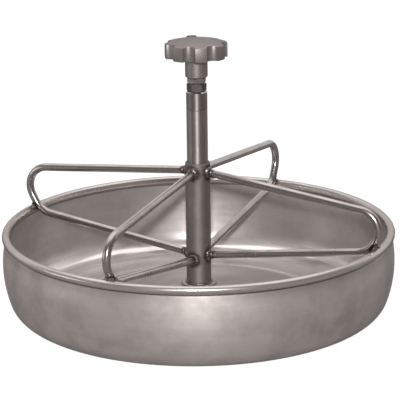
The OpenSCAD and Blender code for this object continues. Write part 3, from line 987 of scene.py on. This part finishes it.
def make_divider(node, turn, top, low):
    """One wire bent into a loop, welded to the sleeve and tacked to the rim."""
    upper = Vector((LOOP_REACH, top))
    leg_end = Vector((0, low))
    lower_out = tangent_point(leg_end, REST_CENTRE, BEND_LOW_R, -1)
    low_way = towards(leg_end, lower_out)
    outer_low = tangent_point(upper, REST_CENTRE, BEND_LOW_R, 1)
    widest = (outer_low - upper).length * math.tan(half_angle(LEG_START, upper, outer_low))
    high_r = min(BEND_HIGH_R, WIDEST_BEND_SHARE * widest)
    take = bend_take(LEG_START, upper, outer_low, high_r)
    high_in = upper + towards(upper, LEG_START) * take
    high_out = upper + towards(upper, outer_low) * take
    high_centre = bend_centre(LEG_START, upper, outer_low, high_r)
    high_way = towards(LEG_START, high_in)
    outer_way = towards(high_out, outer_low)
    across = Vector((0, 1, 0))
    seed = turn / 90

    bm = bmesh.new()
    welds = tack_weld(bm, seed + TACK_SEED)
    tip = LEG_START + high_way * SLEEVE_R
    ring = wire_end(bm, WIRE_R, WIRE_SIDES, leaning(tip, high_way))
    ring = feed(bm, ring, upright(high_in - tip))
    ring = bend(bm, ring, upright(high_centre), across, high_way.angle(outer_way), BEND_HIGH_STEPS)
    ring = feed(bm, ring, upright(outer_low - high_out))
    ring = bend(bm, ring, upright(REST_CENTRE), across, outer_way.angle(-low_way), BEND_LOW_STEPS)
    feed(bm, ring, upright(leg_end + low_way * SLEEVE_R - lower_out))
    bmesh.ops.holes_fill(bm, edges=bm.edges, sides=WIRE_SIDES)
    welds += weld_collar(bm, LEG_START, high_way, seed + WELD_SEED_HIGH)
    welds += weld_collar(bm, leg_end, low_way, seed + WELD_SEED_LOW)
    paint_second(faces_of(welds))
    turn_about_column(bm, turn, bm.verts)
    dress(piece(bm, "wire_" + node, [WIRE_STEEL, WELD_STEEL]), "base", "wire_steel", node)


# Column
def make_base_washer():
    """Washer under the sleeve with the weld bead between them."""
    bm = bmesh.new()
    spun(bm, eased((RUNNING_R, WASHER_R, WASHER_FOOT, WASHER_TOP), EDGE), TURNED_STEPS)
    round_bead = arc((SLEEVE_R, WASHER_TOP), FOOT_BEAD_R, 0, 360, FOOT_BEAD_SIDES)[:-1]
    bead = spun(bm, round_bead, FOOT_BEAD_STEPS)
    for v in bead:
        v.co.z += FOOT_RIPPLE_H * math.sin(FOOT_RIPPLES * math.atan2(v.co.y, v.co.x))
    roughen(bead, FOOT_LUMPS, FOOT_SEED)
    paint_second(faces_of(bead))
    dress(piece(bm, "base_flange", [WASHER_STEEL, WELD_STEEL]), "base", "weld_steel", "base_washer")


def make_sleeve():
    """Fixed outer tube with eased ends."""
    bm = bmesh.new()
    spun(bm, eased((SLEEVE_BORE_R, SLEEVE_R, SLEEVE_FOOT, SLEEVE_TOP), SLEEVE_EASE), TURNED_STEPS)
    dress(piece(bm, "outer_sleeve", [POST_STEEL]), "base", "post_steel", "sleeve")


def make_tube():
    """Inner tube that slides and turns in the sleeve."""
    bm = bmesh.new()
    spun(bm, eased((TUBE_R - TUBE_WALL, TUBE_R, TUBE_FOOT, TUBE_TOP), TUBE_EASE), TURNED_STEPS)
    dress(piece(bm, "inner_tube", [PLUNGER_STEEL]), "plunger", "post_steel", "guide_tube")


def make_plug():
    """Turned plug: spigot in the tube, fine joint line and a chamfered head."""
    section = [
        (SCREWED_R, PLUG_FOOT), (SPIGOT_R - EDGE, PLUG_FOOT), (SPIGOT_R, PLUG_FOOT + EDGE),
        (SPIGOT_R, TUBE_TOP), (TUBE_R - PLUG_JOINT, TUBE_TOP), (TUBE_R, TUBE_TOP + PLUG_JOINT),
        (TUBE_R, PLUG_TOP - PLUG_CHAMFER), (TUBE_R - PLUG_CHAMFER, PLUG_TOP), (SCREWED_R, PLUG_TOP),
    ]
    bm = bmesh.new()
    # Chamfer faces get painted glints
    glint_chamfers(spun(bm, section, TURNED_STEPS))
    dress(piece(bm, "column_plug", [PLUG_STEEL, CHAMFER_GLINT_STEEL]), "plunger", "post_steel", "tube_plug")


def thread(bm, foot, top):
    """Helical ridge round the rod."""
    root = ROD_R - THREAD_DEPTH - THREAD_SUNK
    tooth = [
        (root, -THREAD_PITCH / 2), (ROD_R, -THREAD_CREST / 2),
        (ROD_R, THREAD_CREST / 2), (root, THREAD_PITCH / 2),
    ]
    start = foot + THREAD_PITCH / 2
    line, _ = drawn(bm, [(radius, 0, start + rise) for radius, rise in tooth], closed=True)
    end = wind(bm, line, (top - foot) / THREAD_PITCH - 1, THREAD_PITCH, THREAD_STEPS)
    for ring in (line, end):
        bmesh.ops.contextual_create(bm, geom=ring)


def make_rod():
    """Rod with a rolled thread at both ends and a plain shank between them."""
    root = ROD_R - THREAD_DEPTH
    low, high = STOP_TOP, TUBE_TOP
    section = [
        (0, ROD_FOOT), (root - ROD_CHAMFER, ROD_FOOT), (root, ROD_FOOT + ROD_CHAMFER), (root, low),
        (ROD_R, low + EDGE), (ROD_R, high - EDGE), (root, high),
        (root, ROD_TOP - ROD_CHAMFER), (root - ROD_CHAMFER, ROD_TOP), (0, ROD_TOP),
    ]
    bm = bmesh.new()
    spun(bm, section, ROD_STEPS, closed=False)
    thread(bm, ROD_FOOT + EDGE, low)
    thread(bm, high, ROD_TOP - EDGE)
    dress(piece(bm, "threaded_rod", [NUT_STEEL]), "plunger", "nut_steel", "tie_rod")


def hex_nut(bm, foot, top, turn):
    """Hex nut: a spun blank whose rim is drawn in to the flats, with the chamfer's curves on them."""
    chamfer_r = NUT_AF / 2 * NUT_CHAMFER_SHARE
    blank_r = NUT_AF
    mouth_r = SCREWED_R + COUNTERSINK
    section = [
        (SCREWED_R, foot + COUNTERSINK), (mouth_r, foot), (chamfer_r, foot), (blank_r, foot),
        (blank_r, top), (chamfer_r, top), (mouth_r, top), (SCREWED_R, top - COUNTERSINK),
    ]
    verts = spun(bm, section, NUT_STEPS)
    for v in verts:
        radius = math.hypot(v.co.x, v.co.y)
        if radius > chamfer_r + EDGE:
            swing = math.degrees(math.atan2(v.co.y, v.co.x)) % FLAT_TURN - FLAT_TURN / 2
            flat = NUT_AF / 2 / math.cos(math.radians(swing))
            drop = (flat - chamfer_r) * math.tan(NUT_CHAMFER)
            height = foot + drop if v.co.z < (foot + top) / 2 else top - drop
            v.co = Vector((v.co.x * flat / radius, v.co.y * flat / radius, height))
    turn_about_column(bm, turn, verts)
    # Chamfer faces get painted glints
    glint_chamfers(verts)


def make_nuts():
    """Clamp nut, jam nut and the two nuts that hold the cross bar."""
    under = [(BAR_TOP, BAR_NUTS_TOP, LOCK_TURN), (BAR_NUTS_FOOT, BAR_FOOT, LOCK_TURN)]
    for name, node, places, finish in (
        ("hex_clamp_nut", "clamp_nut", [(CLAMP_FOOT, CLAMP_TOP, LOCK_TURN - CLAMP_LAG)], NUT_STEEL),
        ("hex_jam_nut", "jam_nut", [(JAM_FOOT, JAM_TOP, LOCK_TURN - JAM_LAG)], JAM_STEEL),
        ("hex_bar_nuts", "bar_nuts", under, NUT_STEEL),
    ):
        bm = bmesh.new()
        for place in places:
            hex_nut(bm, *place)
        dress(piece(bm, name, [finish, CHAMFER_GLINT_STEEL], NUT_SHARP), "plunger", "nut_steel", node)


# Knob
def lobed_outline(bm, height):
    """Outline of the knob's disc: arcs of its rim, and the grip grooves between them."""
    swing = math.acos((KNOB_R**2 + GROOVE_AT**2 - GROOVE_R**2) / (2 * KNOB_R * GROOVE_AT))
    hollow = math.acos((GROOVE_R**2 + GROOVE_AT**2 - KNOB_R**2) / (2 * GROOVE_R * GROOVE_AT))
    step = TURN / GROOVES
    lobe = step - 2 * swing
    first = math.radians(LOCK_TURN) - lobe / 2
    tip = [bm.verts.new((KNOB_R * math.cos(first), KNOB_R * math.sin(first), height))]
    for i in range(GROOVES):
        tip = bend(bm, tip, ORIGIN, COLUMN, lobe, LOBE_STEPS)
        middle = math.radians(LOCK_TURN) + (i + 0.5) * step
        groove = Vector((GROOVE_AT * math.cos(middle), GROOVE_AT * math.sin(middle), height))
        tip = bend(bm, tip, groove, COLUMN, -2 * hollow, GROOVE_STEPS)
    bmesh.ops.remove_doubles(bm, verts=bm.verts, dist=SWEPT_MERGE)


def crowned(at):
    """Point of the knob's domed top over a place on its disc."""
    share = (at.x * at.x + at.y * at.y) / (KNOB_R * KNOB_R)
    return Vector((at.x, at.y, KNOB_TOP + CROWN_H * (1 - share)))


def lies_level(edge):
    """Whether an edge lies more level than upright."""
    way = edge.verts[1].co - edge.verts[0].co
    return abs(way.z) < LEVEL_SHARE * way.length


def make_knob():
    """Domed lobed disc with chamfered edges on a turned hub."""
    bm = bmesh.new()
    lobed_outline(bm, DISC_FOOT)
    foot = bm.verts[:]
    ring = foot
    for share in CROWN_RINGS:
        ring = verts_among(bmesh.ops.extrude_edge_only(bm, edges=ring_edges(ring))["geom"])
        for v in ring:
            v.co = crowned(v.co * share)
    for edge_ring in (foot, ring):
        bmesh.ops.contextual_create(bm, geom=ring_edges(edge_ring))
    bmesh.ops.recalc_face_normals(bm, faces=bm.faces)
    rims = [e for e in bm.edges if e.calc_face_angle(0) > KNOB_RIM_ANGLE and lies_level(e)]
    bmesh.ops.bevel(
        bm, geom=rims, offset=KNOB_CHAMFER, offset_type="OFFSET", affect="EDGES", segments=2,
        profile=0.5, material=-1, clamp_overlap=True,
    )
    sunk = DISC_FOOT + HUB_SUNK
    section = [
        (SCREWED_R, sunk), (SCREWED_R, HUB_FOOT + COUNTERSINK), (SCREWED_R + COUNTERSINK, HUB_FOOT),
        (HUB_R - HUB_CHAMFER, HUB_FOOT), (HUB_R, HUB_FOOT + HUB_CHAMFER), (HUB_R, sunk),
    ]
    spun(bm, section, TURNED_STEPS)
    dress(piece(bm, "lobed_knob", [KNOB_STEEL]), "plunger", "knob_steel", "knob")


def make_mark():
    """Half-round raised mark: a quarter section swept round its two ends."""
    bm = bmesh.new()
    centre = Vector((KNOB_R - MARK_R - KNOB_CHAMFER, 0, KNOB_TOP))
    run = Vector((0, MARK_L - 2 * MARK_R, 0))
    quarter = arc((0, 0), MARK_R, 180, 90, MARK_ARC_STEPS)
    line, _ = drawn(bm, [centre - run / 2 + upright(point) for point in quarter])
    line = bend(bm, line, centre - run / 2, COLUMN, math.pi, MARK_END_STEPS)
    line = feed(bm, line, run)
    line = bend(bm, line, centre + run / 2, COLUMN, math.pi, MARK_END_STEPS)
    feed(bm, line, -run)
    bmesh.ops.remove_doubles(bm, verts=bm.verts, dist=SWEPT_MERGE)
    bmesh.ops.holes_fill(bm, edges=bm.edges, sides=0)
    turn_about_column(bm, LOCK_TURN, bm.verts)
    dress(piece(bm, "raised_mark", [NUT_STEEL]), "plunger", "knob_steel", "direction_mark")


# Lock inside and under the bowl
def make_washers():
    """Washer on which the tube turns against the spring, and the washer that stops the lock."""
    for name, node, outline, body in (
        ("spring_washer_plate", "thrust_washer", (FREE_R, THRUST_R, THRUST_FOOT, THRUST_TOP), "press"),
        ("stop_washer_plate", "stop_washer", (SCREWED_R, STOP_R, STOP_FOOT, STOP_TOP), "plunger"),
    ):
        bm = bmesh.new()
        spun(bm, eased(outline, PLATE_EASE), PLATE_STEPS)
        dress(piece(bm, name, [NUT_STEEL]), body, "nut_steel", node)


def make_bar():
    """Cross bar with rounded corners and edges."""
    bm = bmesh.new()
    bmesh.ops.create_cube(bm, size=1)
    bmesh.ops.scale(bm, vec=(BAR_L, BAR_W, BAR_TOP - BAR_FOOT), verts=bm.verts)
    bmesh.ops.translate(bm, vec=COLUMN * (BAR_TOP + BAR_FOOT) / 2, verts=bm.verts)
    corners = [e for e in bm.edges if abs(e.verts[0].co.z - e.verts[1].co.z) > MERGE]
    bmesh.ops.bevel(
        bm, geom=corners, offset=BAR_CORNER_R, affect="EDGES", segments=4, profile=0.5, material=-1
    )
    edges = [e for e in bm.edges if e.calc_face_angle(0) > SHARP]
    bmesh.ops.bevel(bm, geom=edges, offset=BAR_EDGE_R, affect="EDGES", segments=2, profile=0.5, material=-1)
    turn_about_column(bm, LOCK_TURN, bm.verts)
    dress(piece(bm, "cross_bar", [BAR_STEEL]), "plunger", "bar_steel", "lock_bar")


def make_spring():
    """Coil of the spring that shortens when the knob is pressed; here it is wound at one length."""
    bm = bmesh.new()
    start = Matrix.Translation((SPRING_R - SPRING_WIRE_R, 0, SPRING_FOOT + SPRING_WIRE_R))
    ring = wire_end(bm, SPRING_WIRE_R, SPRING_SIDES, start @ Matrix.Rotation(math.pi / 2, 4, "X"))
    rise = SPRING_TOP - SPRING_FOOT - 2 * SPRING_WIRE_R
    wind(bm, ring, SPRING_TURNS, rise / SPRING_TURNS, SPRING_STEPS)
    bmesh.ops.holes_fill(bm, edges=bm.edges, sides=SPRING_SIDES)
    made = dress(piece(bm, "coil_spring", [SPRING_STEEL]), "base", "spring_steel", "lock_spring")
    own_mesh(made)


noise.seed_set(LUMPS_SEED)
make_bowl()
for divider, values in DIVIDERS.items():
    make_divider(divider, *values)
make_base_washer()
make_sleeve()
make_tube()
make_plug()
make_rod()
make_nuts()
make_knob()
make_mark()
make_washers()
make_bar()
make_spring()

# Camera, at the photograph's place
VIEW_TURN = math.radians(25.9)
EYE_DISTANCE = 1.37372
EYE_HEIGHT = 0.47455
PITCH = 0.2765
PAN = 0.0011
ROLL = -0.0125
LENS = 168.4
SENSOR = 36
CLIP_NEAR = 0.05
CLIP_FAR = 50

# Room: its brightness, and how high or far back its ceiling and wall set in
ROOM_ABOVE = 1.1
ROOM_FRONT = 0.2
ROOM_GLOW = 0.4
CEILING_RISE = (0.6, 0.85)
CEILING_BACK = (-0.45, -0.2)
WALL_BACK = (-0.1, 0.7)
FLOOR_R = 9
FLOOR_COLOUR = (0.25, 0.25, 0.25, 1)
FLOOR_SEEN = 0.9
FLOOR_MIRRORED = 0.12

# Softboxes: azimuth from the camera's side, elevation, distance, width with height, and power
LAMP_AIM = 0.08
LAMPS = {
    "key_lamp": (-0.3, 19.4, 1.75, (0.06, 0.06), 21),
    "top_lamp": (0, 105, 1.4, (2.0, 1.4), 5.2),
    "left_lamp": (-78, 3, 1.5, (0.6, 0.6), 2.2),
}


def make_camera():
    """Camera, turned round the column with its own pitch, pan and roll."""
    ahead = Vector((math.sin(PAN) * math.cos(PITCH), math.cos(PAN) * math.cos(PITCH), -math.sin(PITCH)))
    right = Vector((math.cos(PAN), -math.sin(PAN), 0))
    above = right.cross(ahead)
    side = math.cos(ROLL) * right + math.sin(ROLL) * above
    top = -math.sin(ROLL) * right + math.cos(ROLL) * above
    seat = Matrix((side, top, -ahead)).transposed().to_4x4()
    seat.translation = Vector((0, -EYE_DISTANCE, EYE_HEIGHT))
    camera = bpy.data.cameras.new("photo_camera")
    camera.sensor_width = SENSOR
    camera.lens = LENS
    camera.clip_start = CLIP_NEAR
    camera.clip_end = CLIP_FAR
    made = bpy.data.objects.new("photo_camera", camera)
    made.matrix_world = Matrix.Rotation(VIEW_TURN, 4, "Z") @ seat
    bpy.context.scene.collection.objects.link(made)
    bpy.context.scene.camera = made


def seen_rays(w, camera, mirrored):
    """Value for camera rays, another for mirror rays and rays through glass, and none for the rest."""
    path = w.add("LightPath")
    through = w.math("ADD", path.outputs["Is Glossy Ray"], path.outputs["Is Transmission Ray"], clamp=True)
    others = w.math("MULTIPLY", through, mirrored)
    return w.math("MULTIPLY_ADD", path.outputs["Is Camera Ray"], camera, others)


def make_world():
    """White to the camera, an even glow as light, and in mirrors a room with a white wall and ceiling."""
    world = bpy.data.worlds.new("white_room")
    world.use_nodes = True
    world.cycles.sampling_method = "NONE"
    bpy.context.scene.world = world
    w = Wiring(world.node_tree)
    sky = world.node_tree.nodes["Background"]
    sky.inputs["Color"].default_value = (1, 1, 1, 1)
    way = w.add("TexCoord").outputs["Generated"]
    at = w.add("SeparateXYZ")
    w.link(way, at.inputs[0])
    behind = w.vector("DOT_PRODUCT", way, (-math.sin(VIEW_TURN), math.cos(VIEW_TURN), 0))
    overhead = w.math("MULTIPLY", w.span(at.outputs["Z"], *CEILING_RISE), w.span(behind, *CEILING_BACK))
    wall = w.span(behind, *WALL_BACK, ROOM_FRONT, 1.0)
    room = w.math("MAXIMUM", w.math("MULTIPLY", overhead, ROOM_ABOVE), wall)
    seen = seen_rays(w, 1 - ROOM_GLOW, w.math("SUBTRACT", room, ROOM_GLOW))
    w.link(w.math("ADD", seen, ROOM_GLOW), sky.inputs["Strength"])


def make_floor():
    """Pale floor that keeps a soft shadow on white."""
    bm = bmesh.new()
    bmesh.ops.create_circle(bm, cap_ends=True, segments=TURNED_STEPS, radius=FLOOR_R)
    material = bpy.data.materials.new("white_floor")
    material.use_nodes = True
    material.cycles.emission_sampling = "NONE"
    w = Wiring(material.node_tree)
    matt = w.add("BsdfDiffuse")
    matt.inputs["Color"].default_value = FLOOR_COLOUR
    glow = w.add("Emission")
    w.link(seen_rays(w, FLOOR_SEEN, FLOOR_MIRRORED), glow.inputs["Strength"])
    both = w.add("AddShader")
    w.link(matt.outputs[0], both.inputs[0])
    w.link(glow.outputs[0], both.inputs[1])
    w.link(both.outputs[0], material.node_tree.nodes["Material Output"].inputs["Surface"])
    floor = piece(bm, "floor", [material])


def make_lamp(name, azimuth, elevation, distance, size, power):
    """Softbox that faces the bowl."""
    turn = VIEW_TURN + math.radians(azimuth)
    rise = math.radians(elevation)
    back = Vector((math.sin(turn) * math.cos(rise), -math.cos(turn) * math.cos(rise), math.sin(rise)))
    lamp = bpy.data.lights.new(name, "AREA")
    lamp.shape = "RECTANGLE"
    lamp.size, lamp.size_y = size
    lamp.energy = power
    made = bpy.data.objects.new(name, lamp)
    made.visible_camera = False
    aim = back.to_track_quat("Z", "Y").to_matrix().to_4x4()
    made.matrix_world = Matrix.Translation(back * distance + COLUMN * LAMP_AIM) @ aim
    bpy.context.scene.collection.objects.link(made)


make_camera()
make_world()
make_floor()
for softbox, values in LAMPS.items():
    make_lamp(softbox, *values)

bpy.context.scene.view_settings.view_transform = "Standard"
